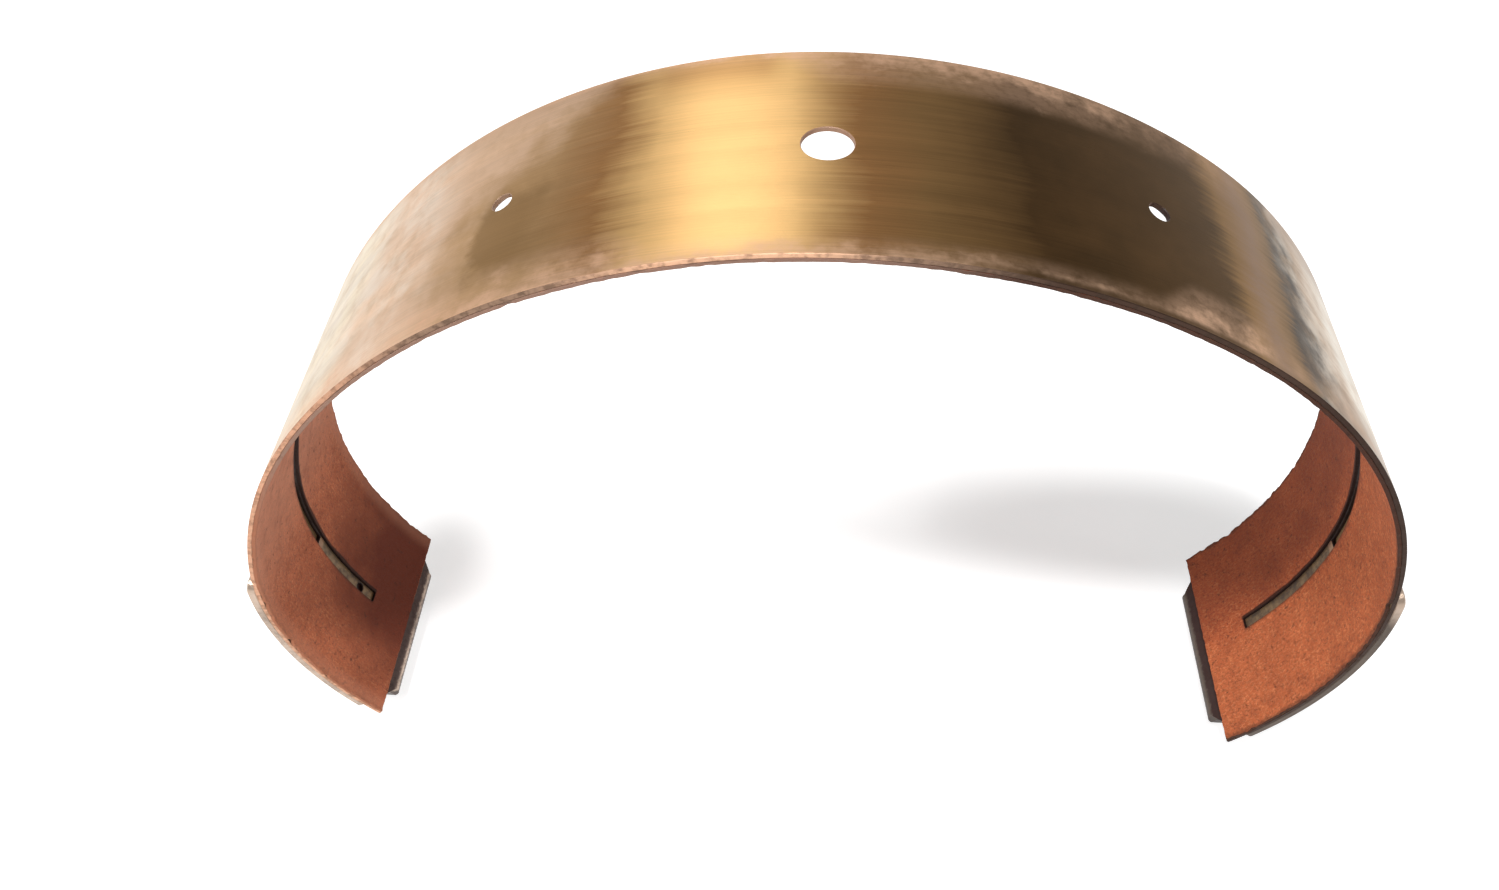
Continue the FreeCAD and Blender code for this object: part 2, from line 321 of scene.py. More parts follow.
class LongHole:
    """A long opening with square ends, and round bulges where holes cross it."""

    def __init__(self, start, stop, width, rag=0.0, bulges=()):
        self.start = start
        self.stop = stop
        self.half = width / 2
        self.rag = rag
        self.bulges = bulges

    def covers(self, arc, across, margin):
        inside = self.start - margin < arc < self.stop + margin
        if inside and abs(across) < self.half + margin:
            return True
        return any(hole.covers(arc, across, margin) for hole in self.bulges)

    def lower_side(self, corner, grow):
        """Points along one long side, from start to stop, round any bulge."""
        points = []
        low = self.start + corner
        for hole in sorted(self.bulges, key=lambda hole: hole.arc) + [None]:
            reach = math.sqrt(hole.radius ** 2 - self.half ** 2) if hole else 0.0
            high = hole.arc - reach if hole else self.stop - corner
            count = max(2, int((high - low) / SIDE_STEP))
            for i in range(count):
                points.append((low + (high - low) * i / count, -self.half - grow))
            if hole is None:
                points.append((high, -self.half - grow))
                break
            first = math.asin((self.half + grow) / (hole.radius + grow))
            turns = max(6, int(2 * hole.radius / BULGE_STEP))
            for i in range(turns + 1):
                turn = math.pi + first + (math.pi - 2 * first) * i / turns
                away = hole.radius + grow
                points.append((hole.arc + away * math.cos(turn), away * math.sin(turn)))
            low = hole.arc + reach + AFTER_BULGE
        return points

    def ring(self, grow):
        """Points round the opening, the same number at any growth."""
        corner = CORNER_SHARE * self.half
        low = self.start + corner
        high = self.stop - corner
        side = self.lower_side(corner, grow)
        points = []
        for up, run, bend, end, first in ((1, side, high, self.stop + grow, 0),
                                          (-1, side[::-1], low, self.start - grow, 180)):
            points += [(arc, up * across) for arc, across in run]
            points += self.corner_points(bend, up * (corner - self.half), -90 * up, corner + grow)
            points += [(end, up * self.half * t) for t in (-0.4, 0.0, 0.4)]
            points += self.corner_points(bend, up * (self.half - corner), first, corner + grow)
        return [self.wander(arc, across) for arc, across in points]

    def corner_points(self, arc, across, start, radius):
        turns = [math.radians(start + 90 * part) for part in (0.33, 0.67)]
        return [(arc + radius * math.cos(t), across + radius * math.sin(t)) for t in turns]

    def wander(self, arc, across):
        side = 1 if across > 0 else -1
        drift = noise.noise(Vector((arc / GROOVE_WAVE, side * 5.0, 3.0)))
        return arc, across + side * self.rag * drift


class Outline:
    """The rim of a strip, straight or ragged."""

    def __init__(self, start, stop, width, step, rag=0.0):
        self.start = start
        self.stop = stop
        self.half = width / 2
        self.step = step
        self.rag = rag

    def inset(self, arc, side):
        """How far a ragged rim stands in from the straight one at an arc length."""
        if self.rag == 0.0:
            return 0.0
        slow, quick, nick = (
            noise.noise(Vector((arc / size, side * 7.0, layer)))
            for size, layer in (SLOW_WAVE, QUICK_WAVE, NICK_WAVE)
        )
        torn = max(0.0, nick - NICK_LEVEL) * NICK_DEPTH
        low_down = min(1.0, max(0.0, (abs(arc) - WORN_FROM) / WORN_OVER))
        worn = 0.6 + 0.9 * low_down
        return self.rag * (worn * (0.9 * slow + 1.1 * quick + torn) - 0.9)

    def end_inset(self, across, side):
        if self.rag == 0.0:
            return 0.0
        return self.rag * (0.5 + 0.8 * noise.noise(Vector((across / END_WAVE, side * 3.0, 5.0))))

    def ring(self, grow):
        """Points round the rim, moved in by the growth. Their number stays the same."""
        along = max(2, int((self.stop - self.start) / self.step))
        across = max(2, int(2 * self.half / self.step))
        span = self.stop - self.start
        points = []
        for up, start, stop in ((1, self.start, self.stop), (-1, self.stop, self.start)):
            for i in range(along):
                arc = start + up * span * i / along
                side = -up * (self.half - self.inset(arc, -up) - grow)
                points.append((arc if i else arc + up * grow, side))
            for i in range(across):
                side = -up * (self.half - 2 * self.half * i / across)
                arc = stop - up * self.end_inset(side, up)
                if i == 0:
                    side = -up * (self.half - self.inset(arc, -up) - grow)
                points.append((arc - up * grow, side))
        return points


def flat_mesh(outline, holes, edge_break, pitch_along, pitch_across):
    """Triangles of a flat sheet with holes: its points, triangles and rings of point numbers."""
    rings = [outline.ring(edge_break)] + [hole.ring(edge_break) for hole in holes]
    points = []
    edges = []
    places = []
    for ring in rings:
        first = len(points)
        numbers = list(range(first, first + len(ring)))
        points += ring
        edges += list(zip(numbers, numbers[1:] + numbers[:1]))
        places.append(numbers)
    keep_off = KEEP_OFF * min(pitch_along, pitch_across)
    rag_room = RAG_ROOM * outline.rag + edge_break + keep_off
    columns = int((outline.stop - outline.start) / pitch_along)
    rows = int(2 * outline.half / pitch_across)
    for i in range(1, columns):
        arc = outline.start + (outline.stop - outline.start) * i / columns
        for j in range(1, rows):
            stagger = 0.5 if i % 2 else 0.0
            across = -outline.half + 2 * outline.half * (j + stagger - 0.25) / rows
            to_rim = outline.half - abs(across)
            to_end = min(arc - outline.start, outline.stop - arc)
            if to_rim < rag_room or to_end < rag_room:
                continue
            if not any(hole.covers(arc, across, keep_off + edge_break) for hole in holes):
                points.append((arc, across))
    scale = 1 / MM
    flat = [Vector((arc * scale, across * scale)) for arc, across in points]
    corners, _, faces, origins, _, _ = delaunay_2d_cdt(flat, edges, [], 1, 1e-6)
    moved = {origin: number for number, group in enumerate(origins) for origin in group}
    made = [(point.x / scale, point.y / scale) for point in corners]
    triangles = []
    for face in faces:
        arc = sum(made[n][0] for n in face) / len(face)
        across = sum(made[n][1] for n in face) / len(face)
        if not any(hole.covers(arc, across, edge_break) for hole in holes):
            triangles.append(tuple(face))
    return made, triangles, [[moved[n] for n in ring] for ring in places]


def no_relief(arc, across, side):
    return 0.0


def rolled_sheet(name, line, outline, holes, low, high, edge_break, pitch, relief=no_relief):
    """Rolls a flat sheet to the band's line. Faces get slot 0 outside, 1 inside, 2 on edges."""
    points, triangles, rings = flat_mesh(outline, holes, edge_break, *pitch)
    shapes = [outline] + list(holes)
    mesh = bmesh.new()
    stations = {}

    def place(arc, across, height):
        if arc not in stations:
            stations[arc] = line.station(arc)
        x, z, out_x, out_z = stations[arc]
        return mesh.verts.new((x + out_x * height, across, z + out_z * height))

    outer = [place(arc, across, high + relief(arc, across, 1)) for arc, across in points]
    inner = [place(arc, across, low + relief(arc, across, -1)) for arc, across in points]
    for a, b, c in triangles:
        mesh.faces.new((outer[a], outer[b], outer[c])).material_index = 0
        mesh.faces.new((inner[c], inner[b], inner[a])).material_index = 1
    for shape, ring in zip(shapes, rings):
        wall = shape.ring(0.0)
        upper = [place(arc, across, high - edge_break) for arc, across in wall]
        lower = [place(arc, across, low + edge_break) for arc, across in wall]
        loops = [[outer[n] for n in ring], upper, lower, [inner[n] for n in ring]]
        for above, below in zip(loops, loops[1:]):
            for i in range(len(wall)):
                j = (i + 1) % len(wall)
                mesh.faces.new((above[i], below[i], below[j], above[j])).material_index = 2
    bmesh.ops.recalc_face_normals(mesh, faces=mesh.faces[:])
    data = bpy.data.meshes.new(name)
    mesh.to_mesh(data)
    mesh.free()
    data.shade_smooth()
    data.set_sharp_from_angle(angle=SHARP_FROM)
    piece = bpy.data.objects.new(name, data)
    bpy.context.scene.collection.objects.link(piece)
    return piece


# Shader building

def linear(value):
    """Scene colour of one from a colour picker."""
    made = [part / 12.92 if part <= 0.04045 else ((part + 0.055) / 1.055) ** 2.4 for part in value]
    return (*made, 1.0)


class Shading:
    """A node tree and short ways to add nodes to it."""

    def __init__(self, tree):
        self.tree = tree

    def node(self, kind, **settings):
        made = self.tree.nodes.new(kind)
        for name, value in settings.items():
            setattr(made, name, value)
        return made

    def feed(self, socket, value):
        """Links a socket to another one, or sets it to a number, vector or picked colour."""
        if isinstance(value, bpy.types.NodeSocket):
            self.tree.links.new(value, socket)
        else:
            socket.default_value = linear(value) if isinstance(value, Color) else value

    def feed_all(self, sockets, values):
        for socket, value in zip(sockets, values):
            self.feed(socket, value)

    def math(self, operation, *values, clamp=False):
        made = self.node("ShaderNodeMath", operation=operation, use_clamp=clamp)
        self.feed_all(made.inputs, values)
        return made.outputs[0]

    def times(self, first, *others):
        for other in others:
            first = self.math("MULTIPLY", first, other)
        return first

    def plus(self, first, second):
        return self.math("ADD", first, second)

    def minus(self, first, second):
        return self.math("SUBTRACT", first, second)

    def most(self, first, second):
        return self.math("MAXIMUM", first, second)

    def scaled(self, value, factor, added, clamp=False):
        return self.math("MULTIPLY_ADD", value, factor, added, clamp=clamp)

    def vector(self, *parts):
        made = self.node("ShaderNodeCombineXYZ")
        self.feed_all(made.inputs, parts)
        return made.outputs[0]

    def parts(self, vector):
        made = self.node("ShaderNodeSeparateXYZ")
        self.feed(made.inputs[0], vector)
        return made.outputs

    def vector_math(self, operation, *values):
        made = self.node("ShaderNodeVectorMath", operation=operation)
        self.feed_all(made.inputs, values)
        return made.outputs["Value" if operation in ("LENGTH", "DOT_PRODUCT") else "Vector"]

    def noise(self, vector, scale, detail, roughness):
        made = self.node("ShaderNodeTexNoise")
        names = ("Vector", "Scale", "Detail", "Roughness")
        self.feed_all([made.inputs[name] for name in names], (vector, scale, detail, roughness))
        return made.outputs["Fac"]

    def band(self, value, low, high, to_low=0.0, to_high=1.0, smooth=True):
        """Value carried from one range to another, held at its ends."""
        kind = "SMOOTHSTEP" if smooth else "LINEAR"
        made = self.node("ShaderNodeMapRange", interpolation_type=kind)
        self.feed_all(made.inputs, (value, low, high, to_low, to_high))
        return made.outputs[0]

    def unit(self, value, at_zero, at_one, smooth=True):
        return self.band(value, 0.0, 1.0, at_zero, at_one, smooth)

    def mix(self, amount, first, second, blend="MIX"):
        made = self.node("ShaderNodeMix", data_type="RGBA", blend_type=blend)
        self.feed_all((made.inputs[0], made.inputs[6], made.inputs[7]), (amount, first, second))
        return made.outputs[2]

    def over(self, base, value, *amounts):
        """Base with a colour laid over it, by the product of the amounts."""
        return self.mix(self.times(*amounts), base, value)

    def group(self, name, **values):
        made = self.node("ShaderNodeGroup")
        made.node_tree = bpy.data.node_groups[name]
        for socket_name, value in values.items():
            self.feed(made.inputs[socket_name.replace("_", " ")], value)
        return made.outputs


def new_group(name, inputs, outputs):
    """Empty shader node group and its two ends. Spot sockets are vectors, the others numbers."""
    group = bpy.data.node_groups.new(name, "ShaderNodeTree")
    for way, names in (("INPUT", inputs), ("OUTPUT", outputs)):
        for socket_name in names:
            kind = "NodeSocketVector" if socket_name == "Spot" else "NodeSocketFloat"
            socket = group.interface.new_socket(socket_name, in_out=way, socket_type=kind)
            if way == "INPUT" and inputs[socket_name] is not None:
                socket.default_value = inputs[socket_name]
    shading = Shading(group)
    return shading, shading.node("NodeGroupInput").outputs, shading.node("NodeGroupOutput").inputs


def build_band_place(centre_height):
    """Group: where a point is on the band. Arc and across are in millimetres."""
    shading, given, result = new_group(
        "Band Place",
        {"Centre Height": centre_height, "Radius": 115.0},
        ("Around", "Arc", "Across", "Rim", "Spot"),
    )
    where = shading.node("ShaderNodeTexCoord").outputs["Object"]
    x, y, z = shading.parts(where)
    turn = shading.math("ARCTAN2", x, shading.minus(z, given["Centre Height"]))
    across = shading.times(y, 1 / MM)
    shading.feed_all(result, (
        shading.scaled(turn, 0.5 / math.pi, 0.5),
        shading.times(turn, given["Radius"]),
        across,
        shading.math("ABSOLUTE", across),
        shading.vector_math("MULTIPLY", where, (1 / MM, 1 / MM, 1 / MM)),
    ))


def build_rolled_lines():
    """Group: fine lines that rolling and brushing leave along the band."""
    shading, given, result = new_group(
        "Rolled Lines",
        {"Arc": 0.0, "Across": 0.0, "Length": 40.0, "Spacing": 0.3},
        ("Lines", "Broad"),
    )
    along = shading.math("DIVIDE", given["Arc"], given["Length"])
    over = shading.math("DIVIDE", given["Across"], given["Spacing"])
    fine = shading.noise(shading.vector(along, over, 0.0), 1.0, 3.0, 0.65)
    wide = shading.vector(shading.times(along, 0.6), shading.times(over, 0.14), 7.0)
    broad = shading.noise(wide, 1.0, 2.0, 0.5)
    shading.feed(result["Lines"], shading.band(fine, 0.25, 0.75, smooth=False))
    shading.feed(result["Broad"], shading.band(broad, 0.3, 0.7, smooth=False))


def build_mottle():
    """Group: cloudy patches, as bloom, oxide or grime leave them."""
    shading, given, result = new_group(
        "Mottle", {"Spot": None, "Size": 6.0, "Cover": 0.5, "Softness": 0.12}, ("Patches",)
    )
    scale = shading.math("DIVIDE", 1.0, given["Size"])
    cloud = shading.noise(given["Spot"], scale, 5.0, 0.62)
    level = shading.unit(shading.minus(1.0, given["Cover"]), 0.25, 0.75, smooth=False)
    low = shading.minus(level, given["Softness"])
    high = shading.plus(level, given["Softness"])
    shading.feed(result["Patches"], shading.band(cloud, low, high))


def build_rim_wear():
    """Group: how strongly a point near a strip's two rims is worn, with a broken border."""
    shading, given, result = new_group(
        "Rim Wear",
        {"Rim": 0.0, "Half Width": 25.4, "Reach": 3.0, "Spot": None, "Grain": 2.0},
        ("Wear",),
    )
    scale = shading.math("DIVIDE", 1.0, given["Grain"])
    drift = shading.scaled(shading.noise(given["Spot"], scale, 4.0, 0.6), 2.0, -1.0)
    left = shading.minus(given["Half Width"], given["Rim"])
    moved = shading.plus(shading.math("DIVIDE", left, given["Reach"]), drift)
    shading.feed(result["Wear"], shading.unit(moved, 1.0, 0.0))


class Surface(Shading):
    """A new material, its shader and, where it has a line, the places on the band."""

    def __init__(self, name, line=None):
        self.made = bpy.data.materials.new(name)
        self.made.use_nodes = True
        super().__init__(self.made.node_tree)
        self.tree.nodes.clear()
        self.shader = self.node("ShaderNodeBsdfPrincipled")
        output = self.node("ShaderNodeOutputMaterial")
        self.tree.links.new(self.shader.outputs[0], output.inputs[0])
        self.base = None
        self.line = line
        if line:
            place = self.group("Band Place", Centre_Height=line.centre_height)
            self.around, self.arc, self.across, self.rim, self.spot = place

    def at(self, arc):
        """Share of a full turn at an arc length in millimetres."""
        return self.line.around(arc * MM)

    def between(self, start, stop):
        """Mask that is 1 between two arc lengths in millimetres."""
        low, high = self.at(start), self.at(stop)
        return self.times(self.band(self.around, low - MASK_EDGE, low + MASK_EDGE),
                          self.band(self.around, high - MASK_EDGE, high + MASK_EDGE, 1.0, 0.0))

    def past_holes(self):
        """Mask that is 1 past both oil holes."""
        return self.band(self.math("ABSOLUTE", self.arc), *PAST_HOLES)

    def mottle(self, size, cover, softness):
        """Patches of a size in millimetres over a share of the face."""
        return self.group("Mottle", Spot=self.spot, Size=size, Cover=cover, Softness=softness)[0]

    def lines(self, length, spacing):
        """Rolling lines, fine and broad, by their length and spacing in millimetres."""
        return self.group("Rolled Lines", Arc=self.arc, Across=self.across, Length=length,
                          Spacing=spacing)

    def zones(self, around, places, finish):
        """Colour at a share of a full turn, from (arc length in millimetres, finish)."""
        made = self.node("ShaderNodeValToRGB")
        self.feed(made.inputs[0], around)
        elements = made.color_ramp.elements
        elements.remove(elements[-1])
        for number, (arc, name) in enumerate(places):
            element = elements.new(self.at(arc)) if number else elements[0]
            element.position = self.at(arc)
            element.color = linear(getattr(finish, name))
        return made.outputs[0]

    def lay(self, value, *amounts):
        """Lays a colour over the base colour, by the product of the amounts."""
        self.base = self.over(self.base, value, *amounts)

    def shade(self, tone):
        self.base = self.mix(1.0, self.base, self.vector(tone, tone, tone), "MULTIPLY")

    def set(self, **values):
        """Links or sets the shader's own sockets, the base colour among them."""
        for name, value in (("Base Color", self.base), *values.items()):
            self.feed(self.shader.inputs[name.replace("_", " ")], value)

    def bump(self, height, strength, distance):
        """Bump of a height map, with its distance in millimetres."""
        made = self.node("ShaderNodeBump")
        made.inputs["Strength"].default_value = strength
        made.inputs["Distance"].default_value = distance * MM
        self.feed(made.inputs["Height"], height)
        self.feed(self.shader.inputs["Normal"], made.outputs[0])


# Materials. All places and sizes are in millimetres along, across and off the band.

WHITE = (1.0, 1.0, 1.0, 1.0)
STEEL_TINT = (0.7, 0.68, 0.65, 1.0)
MASK_EDGE = 0.0006
PAST_HOLES = (62.0, 64.0)
FADING = (1.0, 0.0)

# Colours round the strap's outer face, partly temper colours and partly painted reflection:
# near-white painted glare on both flanks, pale beige painted reflection on the left flank, a
# brassy painted highlight left of the crown, and olive and dark bronze right of it standing partly
# for a dark surround reflected in the steel
TEMPER_AND_REFLECTION_ZONES = (
    (-125.0, "glare"), (-96.0, "glare"), (-87.0, "pale"), (-74.0, "pale"), (-66.0, "tan"),
    (-46.0, "tan"), (-35.5, "amber"), (-28.5, "gold"), (-4.0, "gold"), (5.0, "amber"),
    (16.0, "olive"), (31.0, "bronze"), (66.0, "bronze"), (71.0, "olive"), (76.0, "cut_dull"),
    (80.0, "olive"), (84.0, "smear"), (90.0, "smear"), (96.0, "putty"), (103.0, "right_flank_glare"),
    (125.0, "right_flank_glare"),
)
CUT_ZONES = (
    (-215.0, "cut_steel"), (-95.0, "cut_steel"), (-66.0, "cut_dull"), (-44.0, "cut_dull"),
    (-26.0, "cut_rosy"), (-2.0, "cut_rosy"), (12.0, "cut_dull"), (34.0, "cut_brown"),
    (75.0, "cut_brown"), (90.0, "grime"), (200.0, "grime"),
)
LINING_EDGE_ZONES = (
    (-215.0, "lining_worn"), (-135.0, "lining_worn"), (-110.0, "lining_rim"),
    (5.0, "lining_rim"), (28.0, "cut_brown"), (70.0, "cut_brown"), (88.0, "grime"),
    (215.0, "grime"),
)


def strap_face_material(line, finish):
    """Outer face of the strap: temper colours mixed with painted reflections and a painted
    highlight, rolling lines and bloom along the rims.
    """
    face = Surface("strap_temper_and_reflection_colours", line)
    lines = face.lines(30.0, 0.30)["Lines"]
    streaks = face.lines(90.0, 1.1)
    drift = face.scaled(streaks["Lines"], 0.006, face.around)
    drift = face.scaled(face.noise(face.spot, 0.07, 3.0, 0.55), 0.014, drift)
    # Temper colours with painted glare, a painted highlight and painted dark reflection, round the
    # face
    face.base = face.zones(face.minus(drift, 0.010), TEMPER_AND_REFLECTION_ZONES, finish)
    # Pale veil on the left flank: partly bloom, partly painted reflection
    face.lay(face.mix(0.5, finish.pale, finish.pink), flank_veil(face), 0.8)
    face.lay(finish.olive, oil_hole_stain(face))
    face.lay(finish.amber, face.mottle(16.0, 0.5, 0.24), 0.10)
    # Painted shade: amber laid over the brassy highlight at the far rim, left of the crown, dims
    # it there
    face.lay(finish.amber, face.band(face.across, 12.0, 23.0, 0.0, 0.6),
             face.band(face.arc, -34.0, -26.0), face.band(face.arc, -4.0, -10.0))
    lay_flank_clouds(face, finish)
    face.lay(finish.cut_dull, face.band(face.rim, 13.0, 24.0, 0.0, 0.55),
             face.band(face.arc, 94.0, 101.0))
    patch = rim_bloom(face)
    face.lay(finish.pink, patch, 0.85)
    tone = face.times(face.unit(lines, 0.87, 1.09, smooth=False),
                      face.unit(streaks["Broad"], 0.90, 1.07, smooth=False))
    face.shade(tone)
    rough = face.scaled(patch, 0.16, face.unit(lines, 0.27, 0.37, smooth=False))
    face.set(Metallic=1.0, Specular_Tint=STEEL_TINT, Roughness=rough)
    face.bump(face.scaled(patch, -0.4, lines), 0.07, 0.06)
    return face.made


def lay_flank_clouds(face, finish):
    """Whitish and tan clouds on both flanks."""
    flank = face.most(face.band(face.arc, -66.0, -84.0), face.band(face.arc, 90.0, 100.0))
    face.lay(finish.tan, face.mottle(5.0, 0.42, 0.15), flank, 0.45)
    face.lay(finish.haze, face.mottle(9.0, 0.48, 0.17), flank, 0.6)


def flank_veil(face):
    """Mask of the pale veil on the left flank, partly bloom and partly painted reflection of a
    bright surround, which reaches further in at the far rim.
    """
    limit = face.scaled(face.most(face.across, 0.0), 1.1, -68.0)
    limit = face.scaled(face.noise(face.spot, 0.09, 5.0, 0.6), 34.0, limit)
    ahead = face.minus(face.arc, face.minus(limit, 17.0))
    wisps = face.unit(face.mottle(4.0, 0.62, 0.3), 0.6, 1.0)
    return face.times(face.band(ahead, -9.0, 10.0, *FADING), wisps,
                      face.band(face.arc, -96.0, -84.0))


def rim_bloom(face):
    """Mask of the mottled bloom along both rims, wider on the flanks than at the crown."""
    arc, across = face.arc, face.across
    is_far = face.band(across, -1.0, 1.0)
    near = face.most(face.band(arc, 57.0, 67.0, 3.6, 9.5), face.band(arc, -22.0, -34.0, 2.0, 8.5))
    far = face.band(arc, -8.0, 4.0, 2.5, 9.0)
    reach = face.scaled(face.minus(far, near), is_far, near)
    wear = face.group("Rim Wear", Rim=face.rim, Reach=reach, Spot=face.spot, Grain=7.0)[0]
    soft = face.band(face.plus(face.rim, reach), 23.5, 28.5, 0.0, 0.4)
    even = face.times(is_far, face.band(arc, 40.0, 56.0, 0.95, 0.0))
    faint = face.times(is_far, face.band(arc, 50.0, 62.0, 0.0, 0.6))
    dark_rim = face.times(face.band(across, -23.6, -24.9), face.band(arc, 22.0, 34.0, 0.0, 0.85))
    return face.times(
        face.most(wear, soft),
        face.most(face.mottle(4.5, 0.72, 0.26), even),
        face.minus(1.0, faint),
        face.minus(1.0, dark_rim),
        face.band(arc, 80.0, 84.0, 1.0, 0.3),
        face.unit(face.mottle(1.5, 0.6, 0.2), 0.65, 1.0),
    )


def oil_hole_stain(face):
    """Mask of the stain that oil burnt round the left hole, towards the near rim."""
    wander = face.scaled(face.noise(face.spot, 0.2, 4.0, 0.6), 9.0, -4.5)
    along = face.plus(face.arc, wander)
    over = face.plus(face.across, wander)
    return face.times(face.band(along, -64.0, -60.0), face.band(along, -54.0, -38.0, *FADING),
                      face.band(over, 5.0, -3.0), face.band(over, -22.0, -15.0), 0.75)


# Where the strap's inner face begins past each slot, and a painted glint is laid
SLOT_END_GLINTS = ((-182.6, -180.2), (169.4, 171.6))


def strap_inside_material(line, finish):
    """Inner face of the strap: dull steel with bonding varnish and oil, in the groove, with a
    painted glint where each slot ends.
    """
    face = Surface("strap_inside", line)
    cloud = face.mottle(2.4, 0.5, 0.2)
    face.base = face.over(finish.inside_steel, finish.oxide, cloud)
    # Painted glint: pale cut steel where each slot's sheared end would catch the light
    slot_end_glint = face.most(*(face.between(*reach) for reach in SLOT_END_GLINTS))
    face.lay(finish.cut_steel, slot_end_glint, 0.35)
    face.set(Metallic=0.35, Roughness=face.unit(cloud, 0.5, 0.7))
    face.bump(cloud, 0.3, 0.05)
    return face.made


def cut_edge_material(line, finish):
    """Sheared rims and hole walls, which take the colour of the face beside them, with painted
    shade on the slot walls.
    """
    edge = Surface("strap_cut_edges", line)
    cloud = edge.mottle(1.6, 0.42, 0.14)
    edge.base = edge.zones(edge.around, CUT_ZONES, finish)
    edge.lay(finish.oxide, cloud, 0.4)
    wall = edge.over(finish.bore, finish.oil_bore, edge.band(edge.arc, -20.0, -30.0))
    wall = edge.over(wall, finish.dark_bore, edge.band(edge.arc, 20.0, 30.0))
    near_crown = edge.band(edge.math("ABSOLUTE", edge.arc), 62.0, 60.0)
    in_hole = edge.times(edge.band(edge.rim, 8.0, 7.0), near_crown)
    edge.lay(wall, in_hole)
    # Painted shade: the slot walls past the oil holes go near black, as in shadow
    burnt = edge.times(edge.band(edge.rim, 1.9, 1.5), edge.past_holes())
    edge.lay(finish.recess_shade, burnt)
    metal = edge.scaled(in_hole, -0.8, edge.scaled(burnt, -0.9, 1.0), clamp=True)
    edge.set(Metallic=metal, Roughness=edge.unit(cloud, 0.5, 0.7))
    edge.bump(cloud, 0.2, 0.05)
    return edge.made


def lining_material(line, finish, outline, groove, is_edge):
    """Friction lining: fibres in a red-brown binder, with burnt oil at its rims and groove,
    painted shade in the groove and over its far half, and painted light over the near half at the
    right and high at the left.
    """
    sheet = Surface("lining_edge" if is_edge else "lining_face", line)
    around, across, rim = sheet.around, sheet.across, sheet.rim
    stretched = sheet.vector(sheet.times(sheet.arc, 0.9), sheet.times(across, 1.9), 0.0)
    fibre = sheet.noise(stretched, 1.0, 6.0, 0.75)
    grit = sheet.noise(sheet.spot, 1.5, 5.0, 0.8)
    worn = sheet.noise(sheet.spot, 0.3, 3.0, 0.6)
    cloud = sheet.mottle(11.0, 0.5, 0.22)
    sheet.base = sheet.over(finish.lining, finish.lining_light, sheet.band(fibre, 0.46, 0.64),
                            sheet.band(worn, 0.35, 0.65, 0.45, 0.95))
    sheet.lay(finish.lining_dark, sheet.band(grit, 0.50, 0.38), 0.75)
    # Pale dust high on the left lining, partly painted bounce light
    sheet.lay(finish.lining_dust_and_bounce_light, sheet.band(around, 0.42, 0.5, *FADING),
              sheet.band(around, sheet.at(-178), sheet.at(-150), 0.0, 0.6))
    sheet.lay(finish.lining_dust_and_bounce_light, sheet.band(around, 0.3, 0.5, 0.22, 0.0))
    # Painted light: lighter fibres over the near half of the right lining, where the light falls
    sheet.lay(finish.lining_light, sheet.band(around, 0.5, 0.7, 0.0, 0.13),
              sheet.band(across, 2.0, -6.0))
    # The far half is darkened: partly oil, partly painted shade
    sheet.lay(finish.lining_dark, sheet.scaled(cloud, 0.25, lining_soak_and_shade(sheet)))
    sheet.lay(finish.lining_dark, sheet.mottle(3.2, 0.34, 0.16), 0.3)
    sheet.lay(finish.grime, sheet.mottle(1.3, 0.2, 0.06), 0.6)
    sheet.lay(finish.lining_dust_and_bounce_light, sheet.band(rim, 20.5, 24.5, 0.0, 0.3),
              sheet.band(around, 0.3, 0.4, *FADING))
    wear = sheet.group("Rim Wear", Rim=rim, Half_Width=outline.half / MM, Reach=0.9,
                       Spot=sheet.spot, Grain=2.4)[0]
    scorched = sheet.times(wear, sheet.band(around, 0.45, 0.55, 0.12, 0.55))
    in_groove = sheet.between(groove.start / MM, groove.stop / MM)
    # Grime on the lining's face beside the groove, partly painted shade of the groove's edge
    stain = sheet.band(rim, 1.3, sheet.scaled(cloud, 1.2, 1.8), 0.6, 0.0)
    sheet.lay(finish.grime, sheet.most(scorched, sheet.times(stain, in_groove)))
    # Painted shade: near black on the groove's far wall
    lip = sheet.scaled(cloud, 0.35, 1.75)
    sheet.lay(finish.recess_shade, sheet.band(across, lip, sheet.plus(lip, 0.35), *FADING),
              sheet.band(across, 1.0, 1.3, 0.0, 0.85), in_groove)
    if is_edge:
        sheet.lay(sheet.zones(around, LINING_EDGE_ZONES, finish), 0.85)
        # Painted shade: the lining's cut walls in the groove past the oil holes go near black
        sheet.lay(finish.recess_shade, sheet.band(rim, 6.0, 5.0), sheet.past_holes())
    sheet.set(Roughness=sheet.band(grit, 0.3, 0.7, 0.75, 0.95), Specular_IOR_Level=0.25)
    sheet.bump(sheet.scaled(fibre, 1.4, grit), 0.7, 0.25)
    return sheet.made


def lining_soak_and_shade(sheet):
    """Mask of the lining's far half, darkened partly by oil and partly by painted shade from the
    band above, on all the right and low at the left.
    """
    around, across = sheet.around, sheet.across
    right = sheet.times(sheet.band(across, -4.0, 10.0), sheet.band(around, 0.45, 0.55, 0.0, 0.55))
    low = sheet.times(sheet.band(across, -22.0, 0.0),
                      sheet.band(around, sheet.at(-172), sheet.at(-200), 0.0, 0.75))
    tip = sheet.band(around, sheet.at(-198), sheet.at(-214), 0.0, 0.3)
    return sheet.plus(sheet.plus(right, low), tip)


